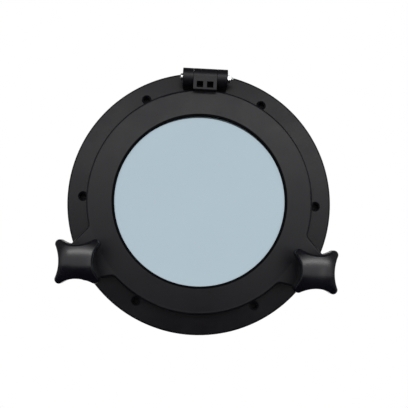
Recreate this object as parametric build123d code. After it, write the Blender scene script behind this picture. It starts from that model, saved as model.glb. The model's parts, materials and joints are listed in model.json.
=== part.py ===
from build123d import *
from math import asin, atan2, cos, degrees, hypot, radians, sin, sqrt
import os

# Round opening hatch: a moulded flange frame with a spigot that goes through the wall, a glazed lid
# hinged at the top, and two captive hand knobs that screw the lid down onto the frame.
# It is drawn lying on its back, +Y towards the hinge, with heights counted from the flange's wall
# face, and is stood up at the end: the wall face then looks along +Y and the room is at -Y.
# Lengths are in millimetres and angles in degrees. The lid is shut and the knobs are let go:
# their studs stand just clear of the inserts in the frame.

# Flange, spigot and sealing lip of the frame
flange_diameter = 215.0
flange_rim_height = 4.0
flange_height = 6.5
flange_rim_radius = 1.8
spigot_wall = 4.0
spigot_depth = 32.0
spigot_end_chamfer = 1.2
coaming_lift = 3.5
coaming_edge_radius = 1.0

# Countersunk screw holes around the flange
screw_count = 6
screw_edge_distance = 12.5
screw_hole_diameter = 4.8
screw_sink_diameter = 8.0

# Foam gasket behind the flange, which the screws go through
gasket_thickness = 2.0
gasket_rim_setback = 3.0
gasket_spigot_setback = 4.5

# Lid ring
screw_to_lid = 5.0
lid_gap = 0.6
lid_plate = 3.7
lid_crown = 1.2
lid_edge_radius = 2.0
lid_land = 2.6
skirt_width = 6.8
coaming_clearance = 1.2
pocket_wall = 4.4
lip_thickness = 2.6
lip_edge_radius = 1.6

# Lid seal, glass, its seal and the ring that holds it
seal_gap = 0.2
seal_thickness = 2.1
seal_play = 0.3
glass_thickness = 5.0
glass_overlap = 4.0
glass_play = 0.4
glazing_seal_thickness = 1.2
glazing_seal_setback = 0.4
retaining_ring_thickness = 3.0
retaining_ring_setback = 1.5
retaining_ring_play = 0.4
retaining_ring_chamfer = 0.6

# Small screws of the retaining ring
ring_screw_count = 8
ring_screw_diameter = 2.2
ring_screw_length = 7.0
ring_screw_head_diameter = 3.6
ring_screw_head_height = 1.3
ring_screw_head_radius = 0.6
ring_screw_clearance = 0.1
ring_screw_tip_room = 0.4
cross_width = 0.6
cross_depth = 0.7

# Hinge: two knuckles on the frame, one cored knuckle on the lid
barrel_diameter = 14.6
barrel_gap = 1.2
hinge_standoff = 9.7
lid_knuckle_width = 18.6
frame_knuckle_width = 8.6
knuckle_gap = 0.12
knuckle_edge_radius = 0.3
leaf_step = 5.3
leaf_edge_radius = 0.8
core_width = 5.2
core_height = 5.0
core_rib = 3.0
core_floor = 3.0
core_to_bore = 3.3

# Hinge bolt and nut
bolt_diameter = 3.0
bolt_running_clearance = 0.05
bolt_head_diameter = 5.6
bolt_head_height = 2.1
bolt_head_radius = 1.2
bolt_end_seat_gap = 0.1
bolt_tail = 2.3
bolt_tip_chamfer = 0.4
nut_width = 5.5
nut_height = 2.5
nut_sides = 6
slot_width = 0.9
slot_depth = 0.8

# Ears of the lid, their stops on the frame, and the threaded inserts
dog_angle = 29.9
dog_standoff = 13.1
ear_root_width = 46.4
ear_end_width = 28.0
ear_overhang = 8.6
ear_corner_radius = 7.0
ear_root_fillet = 4.0
ear_flank = 2.4
ear_web = 3.0
boss_diameter = 16.4
boss_gap = 0.6
boss_edge_radius = 0.8
insert_diameter = 9.0
insert_floor = 1.0

# Knobs with their studs, washers and clips
knob_travel = 4.5
stud_diameter = 6.0
stud_tip_chamfer = 0.8
stud_running_clearance = 0.08
stud_embed = 14.0
thread_clearance = 0.1
tip_gap = 0.4
release_gap = 0.3
clip_diameter = 10.5
clip_thickness = 0.8
clip_gap = 0.2
clip_play = 0.05
clip_room = 0.7
clip_mouth = 4.2
groove_diameter = 4.8
washer_diameter = 17.0
washer_thickness = 1.5
washer_gap = 0.1
washer_play = 0.2
hub_diameter = 21.0
hub_height = 5.5
hub_edge_radius = 0.8
knob_span = 43.8
knob_waist = 25.2
lobe_radius = 3.3
knob_body_height = 8.4
knob_crown = 8.6
knob_front_radius = 2.6
knob_back_radius = 1.4
knob_turns = {"left": 2.5, "right": -0.2}

# One play for pieces that are set fast, one overrun for all cuts, one tolerance to pick edges by
fast_play = 0.02
overrun = 2.0
pick = 0.01

# Radii, from the rim inwards
flange_radius = flange_diameter / 2
screw_radius = flange_radius - screw_edge_distance
lid_radius = screw_radius - screw_to_lid
skirt_inner = lid_radius - skirt_width
spigot_radius = skirt_inner - coaming_clearance
spigot_bore = spigot_radius - spigot_wall
pocket_wall_outer = spigot_bore - coaming_clearance
pocket_radius = pocket_wall_outer - pocket_wall
glass_radius = pocket_radius - glass_play
sight_radius = glass_radius - glass_overlap
ring_screw_radius = (pocket_radius + pocket_wall_outer) / 2

# Heights, from the wall face to the front
coaming_top = flange_height + coaming_lift
skirt_back = flange_height + lid_gap
seal_back = coaming_top + seal_gap
channel_roof = seal_back + seal_thickness
lid_face = channel_roof + lid_plate
lip_face = lid_face + lid_crown
lip_seat = lip_face - lip_thickness
glass_front = lip_seat - glazing_seal_thickness
glass_back = glass_front - glass_thickness
ring_back = glass_back - retaining_ring_thickness

# Hinge axis and knuckle ends
barrel_radius = barrel_diameter / 2
bolt_bore = bolt_diameter / 2 + bolt_running_clearance
hinge_y = lid_radius + hinge_standoff
hinge_z = flange_height + barrel_gap + barrel_radius
frame_knuckle_x = lid_knuckle_width / 2 + knuckle_gap + frame_knuckle_width / 2
hinge_end = frame_knuckle_x + frame_knuckle_width / 2

# Heights of the knob's stack, with the knob let go
dog_radius = lid_radius + dog_standoff
stud_radius = stud_diameter / 2
tip_height = insert_floor + tip_gap + knob_travel
insert_top = tip_height - release_gap
clip_back = tip_height + knob_travel
clip_front = clip_back + clip_thickness
ear_back = clip_front + clip_gap
boss_top = ear_back - boss_gap
washer_back = lid_face + washer_gap + knob_travel
hub_back = washer_back + washer_thickness
body_back = hub_back + hub_height
body_edge = body_back + knob_body_height
knob_front = body_edge + knob_crown

dog_angles = {"left": 180.0 + dog_angle, "right": -dog_angle}
bottom = (Align.CENTER, Align.CENTER, Align.MIN)


def turned(corners):
    """A solid turned about the hatch's axis from corners given as (radius, height)."""
    outline = Polyline(*[(radius, 0, height) for radius, height in corners], close=True)
    return revolve(make_face(outline), Axis.Z)


def tube(inner, outer, back, front):
    return turned([(inner, back), (outer, back), (outer, front), (inner, front)])


def rims(solid, *places):
    """The circular edges of a turned solid at the given (radius, height) places."""
    circles = solid.edges().filter_by(GeomType.CIRCLE)
    return [
        edge
        for edge in circles
        for radius, height in places
        if abs(edge.radius - radius) < pick and abs(edge.arc_center.Z - height) < pick
    ]


def rod(radius, back, front):
    return Pos(0, 0, back) * Cylinder(radius, front - back, align=bottom)


def cross_rod(radius, left, right):
    """A rod on the hinge axis between two places along X."""
    length = right - left
    middle = (left + right) / 2
    return Pos(middle, hinge_y, hinge_z) * Rot(0, 90, 0) * Cylinder(radius, length)


def at_dog(side):
    angle = radians(dog_angles[side])
    return Pos(dog_radius * cos(angle), dog_radius * sin(angle), 0)


def flange_face(radius):
    """Height of the sloping flange face at a radius outside the lid."""
    slope = (flange_height - flange_rim_height) / (flange_radius - lid_radius)
    return flange_height - slope * (radius - lid_radius)


def screw_hole():
    """A through hole with a 90 degree countersink, open to the sloping flange face."""
    hole_radius = screw_hole_diameter / 2
    sink_radius = screw_sink_diameter / 2
    surface = flange_face(screw_radius)
    sink_floor = surface - (sink_radius - hole_radius)
    hole = rod(hole_radius, -overrun, surface + overrun)
    cone = Cone(hole_radius, sink_radius + overrun, surface + overrun - sink_floor, align=bottom)
    return hole + Pos(0, 0, sink_floor) * cone


def frame_knuckle(x):
    """A barrel on a pedestal that rises from the flange, with its ends rounded."""
    foot = flange_rim_height / 2
    barrel = Pos(hinge_y, hinge_z) * Circle(barrel_radius)
    pedestal = Pos(hinge_y, (hinge_z + foot) / 2) * Rectangle(barrel_diameter, hinge_z - foot)
    knuckle = extrude(Plane.YZ * (barrel + pedestal), frame_knuckle_width / 2, both=True)
    ends = [
        edge
        for edge in knuckle.edges()
        if abs(abs(edge.position_at(0.5).X) - frame_knuckle_width / 2) < pick
        and edge.position_at(0.5).Z > foot + pick
    ]
    return Pos(x, 0, 0) * fillet(ends, knuckle_edge_radius)


def dog_boss():
    """The stop under an ear, with room for the stud's clip."""
    boss = rod(boss_diameter / 2, 0, boss_top)
    return fillet(rims(boss, (boss_diameter / 2, boss_top)), boss_edge_radius)


def frame():
    body = turned([
        (spigot_bore, -spigot_depth),
        (spigot_radius, -spigot_depth),
        (spigot_radius, 0),
        (flange_radius, 0),
        (flange_radius, flange_rim_height),
        (lid_radius, flange_height),
        (spigot_radius, flange_height),
        (spigot_radius, coaming_top),
        (spigot_bore, coaming_top),
    ])
    body = fillet(rims(body, (flange_radius, flange_rim_height)), flange_rim_radius)
    lip_edges = rims(body, (spigot_radius, coaming_top), (spigot_bore, coaming_top))
    body = fillet(lip_edges, coaming_edge_radius)
    body = chamfer(rims(body, (spigot_radius, -spigot_depth)), spigot_end_chamfer)
    for x in (-frame_knuckle_x, frame_knuckle_x):
        body += frame_knuckle(x)
    body -= cross_rod(bolt_bore, -hinge_end - overrun, hinge_end + overrun)
    for side in dog_angles:
        body += at_dog(side) * dog_boss()
        clip_well = rod(clip_diameter / 2 + clip_room, insert_top, boss_top + overrun)
        insert_pocket = rod(insert_diameter / 2 + fast_play, insert_floor, boss_top)
        body -= at_dog(side) * (clip_well + insert_pocket)
    for place in PolarLocations(screw_radius, screw_count):
        body -= place * screw_hole()
    return body


def flange_gasket():
    """The ring of foam between the flange and the wall. It isn't punched: the screws pierce it."""
    inner = spigot_radius + gasket_spigot_setback
    outer = flange_radius - gasket_rim_setback
    return tube(inner, outer, -gasket_thickness, 0)


def ear_outline():
    """An ear seen from the front, pointing along +X, its root inside the lid ring."""
    root = skirt_inner
    end = dog_radius + ear_overhang
    outline = make_face(Polyline(
        (root, -ear_root_width / 2),
        (end, -ear_end_width / 2),
        (end, ear_end_width / 2),
        (root, ear_root_width / 2),
        close=True,
    ))
    return fillet(outline.vertices().group_by(Axis.X)[-1], ear_corner_radius)


def ear_hollow():
    """The space under an ear between its flanks, open at its outer end, and the stud's hole."""
    start = lid_radius + ear_web
    end = dog_radius + ear_overhang + overrun
    taper = (ear_root_width - ear_end_width) / 2 / (dog_radius + ear_overhang - skirt_inner)
    half_start = ear_root_width / 2 - taper * (start - skirt_inner) - ear_flank
    half_end = ear_root_width / 2 - taper * (end - skirt_inner) - ear_flank
    outline = make_face(Polyline(
        (start, -half_start), (end, -half_end), (end, half_end), (start, half_start), close=True
    ))
    hollow = Pos(0, 0, skirt_back - overrun) * extrude(outline, ear_back - skirt_back + overrun)
    stud_hole = rod(stud_radius + stud_running_clearance, skirt_back, lid_face + overrun)
    return hollow + Pos(dog_radius, 0, 0) * stud_hole


def lid_blank():
    """The lid's outer form: round with two ears, coned towards the glass, front edge rounded."""
    outline = Rot(0, 0, 90) * Circle(lid_radius)
    for angle in dog_angles.values():
        outline += Rot(0, 0, angle) * ear_outline()
    roots = [
        corner
        for corner in outline.vertices()
        if abs(hypot(corner.X, corner.Y) - lid_radius) < pick and corner.Y < 0
    ]
    outline = fillet(roots, ear_root_fillet)
    blank = Pos(0, 0, skirt_back) * extrude(outline, lip_face - skirt_back)
    land_start = lid_radius - lid_land
    reach = dog_radius + ear_overhang + overrun
    blank &= turned([
        (0, skirt_back - overrun),
        (reach, skirt_back - overrun),
        (reach, lid_face),
        (land_start, lid_face),
        (sight_radius, lip_face),
        (0, lip_face),
    ])
    front_edge = [
        edge
        for edge in blank.edges()
        if abs(edge.position_at(0.5).Z - lid_face) < pick
        and hypot(edge.position_at(0.5).X, edge.position_at(0.5).Y) > land_start + pick
    ]
    return fillet(front_edge, lid_edge_radius)


def lid_knuckle():
    """The lid's hinge leaf: a barrel with a web that ends in a step on the lid, cored by two pockets."""
    root = lid_radius - skirt_width / 2
    start_y = lid_radius - lid_edge_radius
    step_top = lid_face + leaf_step
    run = hinge_y - start_y
    rise = hinge_z - step_top
    span = hypot(run, rise)
    slope = atan2(rise, run) + asin(barrel_radius / span)
    reach = sqrt(span**2 - barrel_radius**2)
    web = make_face(Polyline(
        (root, hinge_z - barrel_radius),
        (hinge_y, hinge_z - barrel_radius),
        (hinge_y, hinge_z),
        (start_y + reach * cos(slope), step_top + reach * sin(slope)),
        (start_y, step_top),
        (start_y, lid_face),
        (root, lid_face),
        close=True,
    ))
    barrel = Pos(hinge_y, hinge_z) * Circle(barrel_radius)
    leaf = extrude(Plane.YZ * (web + barrel), lid_knuckle_width / 2, both=True)
    step_edges = [
        edge
        for edge in leaf.edges().filter_by(Axis.X)
        if abs(edge.position_at(0.5).Y - start_y) < pick and abs(edge.position_at(0.5).Z - step_top) < pick
    ]
    leaf = fillet(step_edges, leaf_edge_radius)
    core_y = hinge_y - bolt_bore - core_to_bore - core_height / 2
    core_back = hinge_z - barrel_radius + core_floor
    for x in (-(core_rib + core_width) / 2, (core_rib + core_width) / 2):
        core = Box(core_width, core_height, hinge_z + barrel_radius - core_back, align=bottom)
        leaf -= Pos(x, core_y, core_back) * core
    return leaf


def lid():
    body = lid_blank() + lid_knuckle()
    body -= turned([
        (0, skirt_back - overrun),
        (skirt_inner, skirt_back - overrun),
        (skirt_inner, channel_roof),
        (pocket_radius, channel_roof),
        (pocket_radius, lip_seat),
        (sight_radius, lip_seat),
        (sight_radius, lip_face + overrun),
        (0, lip_face + overrun),
    ])
    body = fillet(rims(body, (sight_radius, lip_face)), lip_edge_radius)
    body += tube(pocket_radius, pocket_wall_outer, glass_back, lid_face - lid_plate / 2)
    for angle in dog_angles.values():
        body -= Rot(0, 0, angle) * ear_hollow()
    body -= cross_rod(bolt_bore, -hinge_end, hinge_end)
    pilot_end = ring_back + ring_screw_length + ring_screw_tip_room
    pilot = rod(ring_screw_diameter / 2 + fast_play, ring_back, pilot_end)
    for place in PolarLocations(ring_screw_radius, ring_screw_count, 360 / ring_screw_count / 2):
        body -= place * pilot
    return body


def lid_seal():
    inner = pocket_wall_outer + seal_play
    outer = skirt_inner - seal_play
    return tube(inner, outer, seal_back, channel_roof)


def glass_pane():
    return tube(0, glass_radius, glass_back, glass_front)


def glazing_seal():
    return tube(sight_radius + glazing_seal_setback, glass_radius, glass_front, lip_seat)


def retaining_ring():
    inner = sight_radius + retaining_ring_setback
    outer = pocket_wall_outer - retaining_ring_play
    ring = tube(inner, outer, ring_back, glass_back)
    ring = chamfer(rims(ring, (inner, ring_back)), retaining_ring_chamfer)
    hole = rod(ring_screw_diameter / 2 + ring_screw_clearance, ring_back - overrun, glass_back + overrun)
    for place in PolarLocations(ring_screw_radius, ring_screw_count, 360 / ring_screw_count / 2):
        ring -= place * hole
    return ring


def ring_screw():
    """A small pan-head screw with a cross recess, its head behind the retaining ring."""
    head_back = ring_back - ring_screw_head_height
    head_radius = ring_screw_head_diameter / 2
    head = rod(head_radius, head_back, ring_back)
    head = fillet(rims(head, (head_radius, head_back)), ring_screw_head_radius)
    screw = head + rod(ring_screw_diameter / 2, ring_back, ring_back + ring_screw_length)
    for angle in (0, 90):
        slot = Box(head_radius, cross_width, cross_depth, align=bottom)
        screw -= Pos(0, 0, head_back) * Rot(0, 0, angle) * slot
    return screw


def retaining_screws():
    places = PolarLocations(ring_screw_radius, ring_screw_count, 360 / ring_screw_count / 2)
    return Compound(children=[place * ring_screw() for place in places])


def hinge_bolt():
    """A slotted round-head bolt on the hinge axis, its head at the left."""
    head_back = -hinge_end - bolt_end_seat_gap
    head_radius = bolt_head_diameter / 2
    head = rod(head_radius, 0, bolt_head_height)
    head = fillet(rims(head, (head_radius, bolt_head_height)), bolt_head_radius)
    head -= Pos(0, 0, bolt_head_height - slot_depth) * Box(
        bolt_head_diameter, slot_width, slot_depth, align=bottom
    )
    end = hinge_end + bolt_end_seat_gap + nut_height + bolt_tail
    shank = cross_rod(bolt_diameter / 2, head_back, end)
    tip = [edge for edge in shank.edges() if edge.position_at(0.5).X > end - pick]
    shank = chamfer(tip, bolt_tip_chamfer)
    return shank + Pos(head_back, hinge_y, hinge_z) * Rot(0, -90, 0) * head


def hinge_nut():
    """A hexagon nut at the right end of the hinge, its corners turned off."""
    corner_radius = nut_width / sqrt(3)
    chamfer_size = corner_radius - nut_width / 2
    nut = extrude(RegularPolygon(corner_radius, nut_sides, rotation=180 / nut_sides), nut_height)
    blank = rod(corner_radius, 0, nut_height)
    ends = rims(blank, (corner_radius, 0), (corner_radius, nut_height))
    nut &= chamfer(ends, chamfer_size)
    nut -= rod(bolt_diameter / 2 + fast_play, -overrun, nut_height + overrun)
    return Pos(hinge_end + bolt_end_seat_gap, hinge_y, hinge_z) * Rot(0, 90, 0) * nut


def knob_outline():
    """Four round lobes joined by hollow sides, drawn as tangent arcs."""
    lobe_reach = knob_span / 2 - lobe_radius
    lobe = lobe_reach / sqrt(2)
    waist = knob_waist / 2
    hollow_centre = (2 * lobe**2 - (waist - lobe_radius) ** 2) / (2 * (lobe + lobe_radius - waist))
    reach = hypot(hollow_centre - lobe, lobe)
    meet_x = lobe + lobe_radius * (hollow_centre - lobe) / reach
    meet_y = lobe - lobe_radius * lobe / reach
    tip = knob_span / 2 / sqrt(2)
    arcs = []
    for quarter in range(4):
        turn = Rot(0, 0, 90 * quarter)
        arcs.append(turn * ThreePointArc((meet_x, -meet_y), (waist, 0), (meet_x, meet_y)))
        arcs.append(turn * ThreePointArc((meet_x, meet_y), (tip, tip), (meet_y, meet_x)))
    return make_face(arcs)


def knob():
    """A lobed hand knob with a domed front, a round hub behind and a blind hole for its stud."""
    dome_radius = ((knob_span / 2) ** 2 + knob_crown**2) / (2 * knob_crown)
    body = Pos(0, 0, body_back) * extrude(knob_outline(), knob_front - body_back)
    body &= Pos(0, 0, knob_front - dome_radius) * Rot(90, 0, 0) * Sphere(dome_radius)
    back_edges = [edge for edge in body.edges() if edge.position_at(0.5).Z < body_back + pick]
    body = fillet(back_edges, knob_back_radius)
    front_face = body.faces().sort_by(Axis.Z)[-1]
    body = fillet(front_face.edges(), knob_front_radius)
    hub = rod(hub_diameter / 2, hub_back, body_back + knob_body_height / 2)
    hub = fillet(rims(hub, (hub_diameter / 2, hub_back)), hub_edge_radius)
    return body + hub - rod(stud_radius + fast_play, hub_back - overrun, hub_back + stud_embed)


def stud():
    """The knob's stud, with a groove for its clip."""
    groove_radius = groove_diameter / 2
    return turned([
        (0, tip_height),
        (stud_radius - stud_tip_chamfer, tip_height),
        (stud_radius, tip_height + stud_tip_chamfer),
        (stud_radius, clip_back),
        (groove_radius, clip_back),
        (groove_radius, clip_front),
        (stud_radius, clip_front),
        (stud_radius, hub_back + stud_embed),
        (0, hub_back + stud_embed),
    ])


def clip():
    """An open spring clip in the stud's groove, below the ear."""
    ring = tube(groove_diameter / 2 + clip_play, clip_diameter / 2, clip_back, clip_front)
    mouth = Box(clip_diameter, clip_mouth, clip_thickness, align=(Align.MIN, Align.CENTER, Align.MIN))
    return ring - Pos(0, 0, clip_back) * mouth


def washer():
    return tube(stud_radius + washer_play, washer_diameter / 2, washer_back, hub_back)


def insert():
    return tube(stud_radius + thread_clearance, insert_diameter / 2, insert_floor, insert_top)


pieces = {
    "frame": frame(),
    "flange_gasket": flange_gasket(),
    "lid": lid(),
    "lid_seal": lid_seal(),
    "glass_pane": glass_pane(),
    "glazing_seal": glazing_seal(),
    "retaining_ring": retaining_ring(),
    "retaining_screws": retaining_screws(),
    "hinge_bolt": hinge_bolt(),
    "hinge_nut": hinge_nut(),
}
for side in dog_angles:
    pieces[f"{side}_knob"] = at_dog(side) * Rot(0, 0, knob_turns[side]) * knob()
    pieces[f"{side}_stud"] = at_dog(side) * stud()
    pieces[f"{side}_clip"] = at_dog(side) * clip()
    pieces[f"{side}_washer"] = at_dog(side) * washer()
    pieces[f"{side}_insert"] = at_dog(side) * insert()

stand_up = Rot(90, 0, 0)
os.makedirs("parts", exist_ok=True)
for name, piece in pieces.items():
    export_step(stand_up * piece, f"parts/{name}.step")
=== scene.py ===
import json
from math import cos, pi, radians, sin

import bmesh
import bpy
from mathutils import Matrix, Vector


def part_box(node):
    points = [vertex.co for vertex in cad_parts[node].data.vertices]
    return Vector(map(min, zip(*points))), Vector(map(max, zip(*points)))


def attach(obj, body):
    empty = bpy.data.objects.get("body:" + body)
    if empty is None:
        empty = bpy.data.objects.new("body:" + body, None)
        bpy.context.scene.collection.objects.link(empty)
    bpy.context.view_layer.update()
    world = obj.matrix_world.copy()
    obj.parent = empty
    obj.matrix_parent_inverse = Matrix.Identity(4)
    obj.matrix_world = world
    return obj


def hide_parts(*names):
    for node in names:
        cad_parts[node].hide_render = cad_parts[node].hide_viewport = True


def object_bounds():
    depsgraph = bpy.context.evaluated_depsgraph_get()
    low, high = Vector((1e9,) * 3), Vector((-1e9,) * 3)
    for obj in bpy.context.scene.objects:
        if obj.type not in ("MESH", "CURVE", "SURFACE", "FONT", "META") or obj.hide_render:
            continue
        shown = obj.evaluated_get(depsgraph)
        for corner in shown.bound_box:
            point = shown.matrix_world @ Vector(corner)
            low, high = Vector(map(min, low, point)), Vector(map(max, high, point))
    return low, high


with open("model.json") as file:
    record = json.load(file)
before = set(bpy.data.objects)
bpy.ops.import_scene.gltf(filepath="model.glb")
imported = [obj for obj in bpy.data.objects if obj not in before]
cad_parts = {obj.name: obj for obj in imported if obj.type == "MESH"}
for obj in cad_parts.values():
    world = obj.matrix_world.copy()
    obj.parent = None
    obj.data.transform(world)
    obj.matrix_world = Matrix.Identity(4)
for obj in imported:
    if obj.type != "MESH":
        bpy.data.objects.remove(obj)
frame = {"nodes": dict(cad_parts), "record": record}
cad_nodes = frame["nodes"]
cad_low, cad_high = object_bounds()

mm = 0.001

# Camera, as in the photograph: a little below and left of the middle, rolled slightly.
camera_place = Vector((-5.87, -418.87, -35.92)) * mm
camera_target = Vector((3.81, 0.0, -1.50)) * mm
camera_roll = radians(2.5)
camera_lens = 45.03
camera_sensor = 36.0
camera_nearest = 0.01

# Threads: the ISO form, as shares of the pitch, and how finely a rod is drawn along and around.
crest_share = 1 / 8
flank_share = 5 / 16
depth_share = 0.61
rows_per_pitch = 16
rod_sides = 56

# Faces that meet at more than this angle keep a sharp edge between them.
smooth_angle = radians(28.0)

# Hinge bolt, an M3 on the hinge axis with its head at the left. Its thread goes on past the nut.
bolt_pitch = 0.5 * mm
bolt_radius = 1.5 * mm
bolt_tip = 0.4 * mm
bolt_thread_past_nut = 3.6 * mm
bolt_head_height = 2.1 * mm
bolt_head_rounding = 1.2 * mm
bolt_head_steps = 10
bolt_slot_width = 0.9 * mm
bolt_slot_depth = 0.8 * mm

# Knob studs, M6, threaded below the groove for the clip and plain above it.
stud_pitch = 1.0 * mm
stud_radius = 3.0 * mm
stud_tip = 0.8 * mm
stud_groove_radius = 2.4 * mm
stud_runout = 0.5 * mm

# Glazing bead, a rubber trim in the rounded inner edge of the lid's lip. Its near-black, almost
# unreflective finish is partly the rubber's own colour and partly painted shade: the dark line round the
# pane.
lip_face = -17.2 * mm
lip_rounding = 1.6 * mm
sight_radius = 68.0 * mm
bead_cover = 0.1 * mm
bead_crown = 0.18 * mm
bead_sink = 0.15 * mm
bead_steps = 12
bead_sides = 144

# Edge wear: the rounding that finds an edge, and the cosines of its turn at full wear and at none.
edge_radius = 0.5 * mm
edge_samples = 6
edge_full_cosine = 0.82
edge_none_cosine = 0.99

# Floor, a disc below the object.
floor_drop = 0.19
floor_radius = 0.42
floor_sides = 96

# Shade cards: how far they stand from the object and reach behind it, and how much their tone varies.
card_drop = 0.12
card_rise = 0.25
card_behind = 0.20
card_variation = 1.2

# Each card's tone, half width, and reach in front of the object.
lower_card_tone = 0.002
lower_card_half_width = 0.65
lower_card_front = 0.70
upper_card_tone = 0.10
upper_card_half_width = 0.60
upper_card_front = 0.40
side_card_tone = 0.20
side_card_half_width = 0.50
side_card_front = 0.20

# Light: the world's plain level, and each lamp's place, width and height, and power in watts.
ambient = 0.8
lamp_target = Vector((0, 0, 0))
key_lamp_place = Vector((0.1, -1.2, 0.54))
key_lamp_size = (2.2, 0.22)
key_lamp_power = 8.5
side_lamp_place = Vector((0.62, -1.2, -0.1))
side_lamp_size = (0.35, 0.6)
side_lamp_power = 0.4


def clamp(value, low=0.0, high=1.0):
    return max(low, min(high, value))


# Materials.


class Nodes:
    """A material's node tree, with short calls for the nodes that the finishes share."""

    def __init__(self, name):
        self.material = bpy.data.materials.new(name)
        self.material.use_nodes = True
        self.tree = self.material.node_tree
        self.shader = self.tree.nodes["Principled BSDF"]
        self.place = self.add("ShaderNodeTexCoord").outputs["Object"]

    def add(self, kind, **values):
        node = self.tree.nodes.new(kind)
        for key, value in values.items():
            setattr(node, key, value)
        return node

    def link(self, start, end):
        self.tree.links.new(start, end)

    def set(self, **values):
        """Sets the shader's own sockets, named with _ for each space."""
        for key, value in values.items():
            self.shader.inputs[key.replace("_", " ")].default_value = value

    def stretched(self, scale):
        """Object coordinates, stretched by a scale for each axis."""
        mapping = self.add("ShaderNodeMapping")
        self.link(self.place, mapping.inputs["Vector"])
        mapping.inputs["Scale"].default_value = scale
        return mapping.outputs["Vector"]

    def noise(self, scale, detail=3.0, roughness=0.5, place=None):
        noise = self.add("ShaderNodeTexNoise")
        self.link(place or self.place, noise.inputs["Vector"])
        noise.inputs["Scale"].default_value = scale
        noise.inputs["Detail"].default_value = detail
        noise.inputs["Roughness"].default_value = roughness
        return noise.outputs["Fac"]

    def spread(self, value, low, high, start=0.3, end=0.7):
        """A value between start and end, carried to the range from low to high."""
        spread = self.add("ShaderNodeMapRange", clamp=True)
        self.link(value, spread.inputs["Value"])
        spread.inputs["From Min"].default_value = start
        spread.inputs["From Max"].default_value = end
        spread.inputs["To Min"].default_value = low
        spread.inputs["To Max"].default_value = high
        return spread.outputs["Result"]

    def colours(self, value, *stops):
        """A colour ramp over stops of (position, colour)."""
        ramp = self.add("ShaderNodeValToRGB")
        self.link(value, ramp.inputs["Fac"])
        elements = ramp.color_ramp.elements
        while len(elements) < len(stops):
            elements.new(1.0)
        for element, (position, colour) in zip(elements, stops):
            element.position = position
            element.color = (*colour, 1.0)
        return ramp.outputs["Color"]

    def mix(self, factor, first, second):
        mix = self.add("ShaderNodeMix", data_type="RGBA")
        self.link(factor, mix.inputs["Factor"])
        self.link(first, mix.inputs["A"])
        self.link(second, mix.inputs["B"])
        return mix.outputs["Result"]

    def product(self, first, second):
        product = self.add("ShaderNodeMath", operation="MULTIPLY")
        self.link(first, product.inputs[0])
        self.link(second, product.inputs[1])
        return product.outputs["Value"]

    def edges(self):
        """Near 1 on sharp edges, and 0 on flat faces."""
        bevel = self.add("ShaderNodeBevel", samples=edge_samples)
        bevel.inputs["Radius"].default_value = edge_radius
        geometry = self.add("ShaderNodeNewGeometry")
        dot = self.add("ShaderNodeVectorMath", operation="DOT_PRODUCT")
        self.link(bevel.outputs["Normal"], dot.inputs[0])
        self.link(geometry.outputs["Normal"], dot.inputs[1])
        cosine = dot.outputs["Value"]
        return self.spread(cosine, low=1.0, high=0.0, start=edge_full_cosine, end=edge_none_cosine)

    def bump(self, height, depth, under=None):
        """A bump of the given depth in metres, over another one if there is one."""
        bump = self.add("ShaderNodeBump")
        bump.inputs["Strength"].default_value = 1.0
        bump.inputs["Distance"].default_value = depth
        self.link(height, bump.inputs["Height"])
        if under is not None:
            self.link(under, bump.inputs["Normal"])
        return bump.outputs["Normal"]

    def finish(self, colour=None, roughness=None, normal=None):
        """Links what is given to the shader, and gives the material."""
        for name, value in (("Base Color", colour), ("Roughness", roughness), ("Normal", normal)):
            if value is not None:
                self.link(value, self.shader.inputs[name])
        return self.material


def moulding(name, dark, light, worn, smoothest, roughest, sheen, grain_scale, grain_depth):
    """Satin moulded plastic: fine grain, faint flow marks and slightly rubbed edges."""
    nodes = Nodes(name)
    nodes.set(Specular_IOR_Level=sheen, IOR=1.5)
    cloud = nodes.noise(scale=38.0, detail=5.0, roughness=0.6)
    grain = nodes.noise(scale=grain_scale, detail=2.0, roughness=0.55)
    body = nodes.colours(cloud, (0.32, dark), (0.68, light))
    rubbed = nodes.colours(grain, (0.35, light), (0.65, worn))
    patches = nodes.spread(nodes.noise(scale=140.0, detail=4.0), low=0.15, high=0.75)
    colour = nodes.mix(nodes.product(nodes.edges(), patches), body, rubbed)
    roughness = nodes.spread(cloud, low=smoothest, high=roughest)
    flow = nodes.noise(scale=9.0, detail=2.0, roughness=0.4, place=nodes.stretched((1.0, 1.0, 2.5)))
    normal = nodes.bump(grain, depth=grain_depth, under=nodes.bump(flow, depth=0.25 * mm))
    return nodes.finish(colour, roughness, normal)


def rubber(name, dark, light, smoothest, roughest, sheen, bloom_scale):
    """Dull black rubber, with a faint bloom and fine pores."""
    nodes = Nodes(name)
    nodes.set(Specular_IOR_Level=sheen)
    bloom = nodes.noise(scale=bloom_scale, detail=5.0, roughness=0.6)
    pores = nodes.noise(scale=3400.0, detail=2.0)
    colour = nodes.colours(bloom, (0.35, dark), (0.7, light))
    roughness = nodes.spread(bloom, low=smoothest, high=roughest)
    return nodes.finish(colour, roughness, nodes.bump(pores, depth=0.03 * mm))


def glass():
    """A tinted pane, with the faintest film of dust and polishing haze."""
    nodes = Nodes("pane_glass")
    nodes.set(Transmission_Weight=1.0, IOR=1.49)
    film = nodes.noise(scale=24.0, detail=4.0, roughness=0.55)
    colour = nodes.colours(film, (0.3, (0.408, 0.514, 0.580)), (0.7, (0.416, 0.523, 0.590)))
    haze = nodes.noise(scale=60.0, detail=5.0, roughness=0.6)
    return nodes.finish(colour, nodes.spread(haze, low=0.0, high=0.03))


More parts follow.
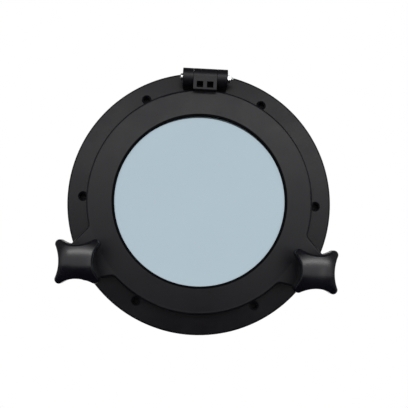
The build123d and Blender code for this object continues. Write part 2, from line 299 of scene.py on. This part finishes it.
def steel():
    """Bright stainless steel, with drawn lines along Y and small scuffs."""
    nodes = Nodes("stainless")
    nodes.set(Metallic=1.0)
    lines = nodes.noise(scale=2200.0, detail=2.0, place=nodes.stretched((1.0, 0.06, 1.0)))
    scuffs = nodes.noise(scale=520.0, detail=5.0, roughness=0.65)
    colour = nodes.colours(scuffs, (0.3, (0.66, 0.66, 0.67)), (0.62, (0.80, 0.80, 0.81)))
    roughness = nodes.spread(lines, low=0.18, high=0.32)
    return nodes.finish(colour, roughness, nodes.bump(lines, depth=0.002 * mm))


def brass():
    """Turned brass, with drawn lines along Y and patches of tarnish."""
    nodes = Nodes("insert_brass")
    nodes.set(Metallic=1.0)
    lines = nodes.noise(scale=2400.0, detail=2.0, place=nodes.stretched((1.0, 0.06, 1.0)))
    tarnish = nodes.noise(scale=420.0, detail=5.0, roughness=0.6)
    colour = nodes.colours(tarnish, (0.3, (0.40, 0.26, 0.09)), (0.66, (0.66, 0.47, 0.19)))
    roughness = nodes.spread(lines, low=0.24, high=0.42)
    return nodes.finish(colour, roughness, nodes.bump(lines, depth=0.006 * mm))


finishes = {
    "black_moulding": moulding(
        "black_moulding",
        dark=(0.0024, 0.0024, 0.0042),
        light=(0.0038, 0.0038, 0.0060),
        worn=(0.016, 0.016, 0.019),
        smoothest=0.36,
        roughest=0.46,
        sheen=0.30,
        grain_scale=2000.0,
        grain_depth=0.075 * mm,
    ),
    "knob_moulding": moulding(
        "knob_moulding",
        dark=(0.0018, 0.0019, 0.0040),
        light=(0.0028, 0.0029, 0.0054),
        worn=(0.011, 0.011, 0.014),
        smoothest=0.20,
        roughest=0.27,
        sheen=0.50,
        grain_scale=3200.0,
        grain_depth=0.010 * mm,
    ),
    "seal_rubber": rubber(
        "seal_rubber",
        dark=(0.0050, 0.0050, 0.0055),
        light=(0.0110, 0.0110, 0.0117),
        smoothest=0.68,
        roughest=0.86,
        sheen=0.12,
        bloom_scale=90.0,
    ),
    # The bead's near-black, almost unreflective rubber: partly its own colour, partly painted shade for the
    # dark line round the pane.
    "bead_rubber_painted_shade": rubber(
        "bead_rubber_painted_shade",
        dark=(0.0022, 0.0022, 0.0026),
        light=(0.0040, 0.0040, 0.0046),
        smoothest=0.86,
        roughest=0.96,
        sheen=0.02,
        bloom_scale=120.0,
    ),
    "pane_glass": glass(),
    "stainless": steel(),
    "insert_brass": brass(),
}
slot_of = {part["node"]: part["material_slot"] for part in frame["record"]["subparts"]}


# Pieces.


def piece_from(mesh, name):
    """Turns a bmesh into an object in the scene."""
    data = bpy.data.meshes.new(name)
    mesh.to_mesh(data)
    mesh.free()
    piece = bpy.data.objects.new(name, data)
    bpy.context.scene.collection.objects.link(piece)
    return piece


def thread_drop(turn, distance, pitch):
    """How far below the crest the thread is there, as a share of its depth."""
    phase = (distance / pitch - turn) % 1.0
    falling = (phase - crest_share) / flank_share
    rising = (1.0 - phase) / flank_share
    return clamp(min(falling, rising))


def turned_rod(name, foot, along, rows):
    """A closed round rod. Each row is a distance along it, a radius, and a pitch where it is threaded."""
    along = along.normalized()
    across = along.orthogonal().normalized()
    other = along.cross(across)
    mesh = bmesh.new()
    rings = []
    for distance, radius, pitch in rows:
        ring = []
        for side in range(rod_sides):
            turn = side / rod_sides
            angle = 2 * pi * turn
            reach = radius
            if pitch:
                reach -= depth_share * pitch * thread_drop(turn, distance, pitch)
            out = across * cos(angle) + other * sin(angle)
            ring.append(mesh.verts.new(foot + along * distance + out * reach))
        rings.append(ring)
    for lower, upper in zip(rings, rings[1:]):
        for side in range(rod_sides):
            beside = (side + 1) % rod_sides
            mesh.faces.new((lower[side], lower[beside], upper[beside], upper[side]))
    mesh.faces.new(rings[0][::-1])
    mesh.faces.new(rings[-1])
    bmesh.ops.recalc_face_normals(mesh, faces=mesh.faces)
    return piece_from(mesh, name)


def turned_ring(name, section):
    """A closed ring about the sight's axis, from a section of (radius, y) points."""
    mesh = bmesh.new()
    rings = []
    for side in range(bead_sides):
        angle = 2 * pi * side / bead_sides
        rings.append([mesh.verts.new((r * cos(angle), y, r * sin(angle))) for r, y in section])
    for side in range(bead_sides):
        here = rings[side]
        beside = rings[(side + 1) % bead_sides]
        for index in range(len(section)):
            after = (index + 1) % len(section)
            mesh.faces.new((here[index], here[after], beside[after], beside[index]))
    bmesh.ops.recalc_face_normals(mesh, faces=mesh.faces)
    return piece_from(mesh, name)


def threaded(start, end, radius, pitch, tip):
    """Rows of a thread from start to end, its crests cut back by the tip's chamfer at start."""
    step = pitch / rows_per_pitch
    count = round((end - start) / step)
    rows = []
    for index in range(count + 1):
        distance = start + (end - start) * index / count
        rows.append((distance, min(radius, radius - tip + (distance - start)), pitch))
    return rows


def smooth(piece):
    piece.data.shade_smooth()
    piece.data.set_sharp_from_angle(angle=smooth_angle)


def dress(piece, finish):
    piece.data.materials.clear()
    piece.data.materials.append(finishes[finish])
    return piece


def stand_in(piece, node, body):
    """The piece takes a CAD node's place, on its body and in its finish."""
    smooth(piece)
    slot = slot_of[node]
    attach(dress(piece, slot), body)
    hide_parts(node)


def knob_stud(side):
    """A knob's stud: threaded tip, groove for the clip, plain shank up into the knob."""
    node = f"{side}_stud"
    low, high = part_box(node)
    clip_low, clip_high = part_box(f"{side}_clip")
    foot = Vector(((low.x + high.x) / 2, high.y, (low.z + high.z) / 2))
    groove_start = high.y - clip_high.y
    groove_end = high.y - clip_low.y
    rows = threaded(0.0, groove_start - stud_runout, stud_radius, stud_pitch, stud_tip)
    rows += [
        (groove_start - stud_runout / 2, stud_radius, 0.0),
        (groove_start, stud_radius, 0.0),
        (groove_start, stud_groove_radius, 0.0),
        (groove_end, stud_groove_radius, 0.0),
        (groove_end, stud_radius, 0.0),
        (high.y - low.y, stud_radius, 0.0),
    ]
    stud = turned_rod(f"{side}_threaded_stud", foot, Vector((0, -1, 0)), rows)
    stand_in(stud, node, f"{side}_knob")


def cut_box(piece, middle, size):
    """Takes a box out of the piece's mesh."""
    cutter_mesh = bmesh.new()
    bmesh.ops.create_cube(cutter_mesh, size=1.0)
    cutter = piece_from(cutter_mesh, "slot_cutter")
    cutter.data.transform(Matrix.Translation(middle) @ Matrix.Diagonal((*size, 1.0)))
    cut = piece.modifiers.new("slot", "BOOLEAN")
    cut.object = cutter
    cut.operation = "DIFFERENCE"
    cut.solver = "EXACT"
    bpy.context.view_layer.update()
    shown = piece.evaluated_get(bpy.context.evaluated_depsgraph_get())
    piece.data = bpy.data.meshes.new_from_object(shown)
    piece.modifiers.clear()
    bpy.data.objects.remove(cutter)


def hinge_bolt():
    """The hinge's bolt: slotted round head at the left, thread through the nut at the right."""
    low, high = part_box("hinge_bolt")
    nut_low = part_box("hinge_nut")[0]
    middle_y = (low.y + high.y) / 2
    middle_z = (low.z + high.z) / 2
    head_radius = (high.z - low.z) / 2
    foot = Vector((high.x, middle_y, middle_z))
    thread_end = high.x - nut_low.x + bolt_thread_past_nut
    head_seat = high.x - low.x - bolt_head_height
    rows = threaded(0.0, thread_end, bolt_radius, bolt_pitch, bolt_tip)
    rows += [
        (thread_end + bolt_pitch, bolt_radius, 0.0),
        (head_seat, bolt_radius, 0.0),
        (head_seat, head_radius, 0.0),
    ]
    side_height = bolt_head_height - bolt_head_rounding
    for step in range(bolt_head_steps + 1):
        angle = pi / 2 * step / bolt_head_steps
        rows.append((
            head_seat + side_height + bolt_head_rounding * sin(angle),
            head_radius - bolt_head_rounding * (1 - cos(angle)),
            0.0,
        ))
    bolt = turned_rod("threaded_hinge_bolt", foot, Vector((-1, 0, 0)), rows)
    # The cut's middle is on the head's face, and it is twice as long as the head is wide.
    slot_middle = Vector((low.x, middle_y, middle_z))
    slot_size = (2 * bolt_slot_depth, 4 * head_radius, bolt_slot_width)
    cut_box(bolt, slot_middle, slot_size)
    stand_in(bolt, "hinge_bolt", "frame")


def glazing_bead():
    """The bead round the pane: a low crown over the lip's rounded edge, down to the pane. Its near-black
    finish is partly the rubber's own colour and partly painted shade.
    """
    glass_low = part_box("glass_pane")[0]
    inner = sight_radius - bead_cover
    outer = sight_radius + lip_rounding
    half_width = (outer - inner) / 2
    section = [(sight_radius, glass_low.y), (inner, glass_low.y)]
    for step in range(bead_steps + 1):
        angle = pi * step / bead_steps
        radius = inner + half_width * (1 - cos(angle))
        section.append((radius, lip_face + bead_sink * step / bead_steps - bead_crown * sin(angle)))
    for step in range(1, bead_steps + 1):
        angle = pi / 2 * step / bead_steps
        section.append((
            outer - lip_rounding * sin(angle),
            lip_face + bead_sink + lip_rounding * (1 - cos(angle)),
        ))
    piece = turned_ring("glazing_bead", section)
    smooth(piece)
    dress(piece, "bead_rubber_painted_shade")
    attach(piece, "lid")


# Studio: a pale round floor, shade cards, a white surround, two soft lamps and the camera.


def flat_piece(name, points):
    """One flat face that isn't part of the object."""
    mesh = bmesh.new()
    mesh.faces.new([mesh.verts.new(point) for point in points])
    piece = piece_from(mesh, name)
    return piece


def floor():
    """A pale round floor below the object."""
    height = cad_low.z - floor_drop
    points = []
    for step in range(floor_sides):
        angle = 2 * pi * step / floor_sides
        points.append((floor_radius * cos(angle), floor_radius * sin(angle), height))
    piece = flat_piece("floor", points)
    nodes = Nodes("floor")
    nodes.set(Roughness=0.8, Specular_IOR_Level=0.1)
    colour = nodes.colours(nodes.noise(scale=3.0), (0.3, (0.80, 0.80, 0.80)), (0.7, (0.84, 0.84, 0.84)))
    piece.data.materials.append(nodes.finish(colour))


def shade_card(name, tone, points):
    """A card that only reflections show: it isn't seen itself, and takes no light from anything."""
    piece = flat_piece(name, points)
    piece.visible_camera = False
    piece.visible_diffuse = False
    piece.visible_transmission = False
    piece.visible_volume_scatter = False
    piece.visible_shadow = False
    nodes = Nodes(name)
    nodes.set(Roughness=0.9, Specular_IOR_Level=0.0)
    lighter = card_variation * tone
    colour = nodes.colours(
        nodes.noise(scale=2.0), (0.3, (tone, tone, tone)), (0.7, (lighter, lighter, lighter))
    )
    piece.data.materials.append(nodes.finish(colour))


def level_card(name, tone, z, half_width, first, last):
    """A level card between two places along Y, which faces down where last is the further one."""
    left, right = -half_width, half_width
    shade_card(name, tone, [(left, first, z), (left, last, z), (right, last, z), (right, first, z)])


def side_card(name, tone, x, half_width, first, last):
    """An upright card beside the object, between two places along Y."""
    low, high = -half_width, half_width
    shade_card(name, tone, [(x, first, low), (x, last, low), (x, last, high), (x, first, high)])


def shade_cards():
    """A card below the object, one above it and one on each side."""
    front = cad_low.y
    back = cad_high.y + card_behind
    level_card(
        "lower_card", lower_card_tone, cad_low.z - card_drop, lower_card_half_width,
        back, front - lower_card_front,
    )
    level_card(
        "upper_card", upper_card_tone, cad_high.z + card_rise, upper_card_half_width,
        front - upper_card_front, back,
    )
    for name, x in (("left_card", cad_low.x - card_rise), ("right_card", cad_high.x + card_rise)):
        side_card(name, side_card_tone, x, side_card_half_width, front - side_card_front, back)


def surround():
    """A white world where it is seen, also in metal and through glass, and a plain soft light elsewhere."""
    world = bpy.data.worlds.new("surround")
    bpy.context.scene.world = world
    world.use_nodes = True
    tree = world.node_tree
    tree.nodes.clear()
    light = tree.nodes.new("ShaderNodeBackground")
    light.inputs["Color"].default_value = (1.0, 1.0, 1.0, 1.0)
    light.inputs["Strength"].default_value = ambient
    white = tree.nodes.new("ShaderNodeBackground")
    white.inputs["Color"].default_value = (1.0, 1.0, 1.0, 1.0)
    white.inputs["Strength"].default_value = 1.0
    path = tree.nodes.new("ShaderNodeLightPath")
    seen = path.outputs["Is Camera Ray"]
    for ray in ("Is Glossy Ray", "Is Transmission Ray"):
        either = tree.nodes.new("ShaderNodeMath")
        either.operation = "MAXIMUM"
        tree.links.new(seen, either.inputs[0])
        tree.links.new(path.outputs[ray], either.inputs[1])
        seen = either.outputs["Value"]
    mix = tree.nodes.new("ShaderNodeMixShader")
    tree.links.new(seen, mix.inputs["Fac"])
    tree.links.new(light.outputs["Background"], mix.inputs[1])
    tree.links.new(white.outputs["Background"], mix.inputs[2])
    output = tree.nodes.new("ShaderNodeOutputWorld")
    tree.links.new(mix.outputs["Shader"], output.inputs["Surface"])


def softbox(name, place, size, power):
    """A rectangular lamp that faces the object and isn't seen through the pane."""
    width, height = size
    data = bpy.data.lights.new(name, "AREA")
    data.shape = "RECTANGLE"
    data.size = width
    data.size_y = height
    data.energy = power
    lamp = bpy.data.objects.new(name, data)
    lamp.location = place
    lamp.rotation_mode = "QUATERNION"
    lamp.rotation_quaternion = (lamp_target - place).to_track_quat("-Z", "Y")
    lamp.visible_transmission = False
    bpy.context.scene.collection.objects.link(lamp)


def camera():
    """The camera, rolled about its line of sight."""
    forward = (camera_target - camera_place).normalized()
    right = forward.cross(Vector((0, 0, 1))).normalized()
    up = right.cross(forward)
    rolled_right = right * cos(camera_roll) + up * sin(camera_roll)
    rolled_up = up * cos(camera_roll) - right * sin(camera_roll)
    data = bpy.data.cameras.new("camera")
    data.lens = camera_lens
    data.sensor_width = camera_sensor
    data.clip_start = camera_nearest
    seen_from = bpy.data.objects.new("camera", data)
    turn = Matrix((rolled_right, rolled_up, -forward)).transposed()
    seen_from.matrix_world = Matrix.Translation(camera_place) @ turn.to_4x4()
    bpy.context.scene.collection.objects.link(seen_from)
    bpy.context.scene.camera = seen_from


# The scene.
for node, piece in cad_nodes.items():
    dress(piece, slot_of[node])
for side in ("left", "right"):
    knob_stud(side)
hinge_bolt()
glazing_bead()
floor()
shade_cards()
surround()
softbox("key", key_lamp_place, key_lamp_size, key_lamp_power)
softbox("side", side_lamp_place, side_lamp_size, side_lamp_power)
camera()
bpy.context.scene.view_settings.view_transform = "Standard"
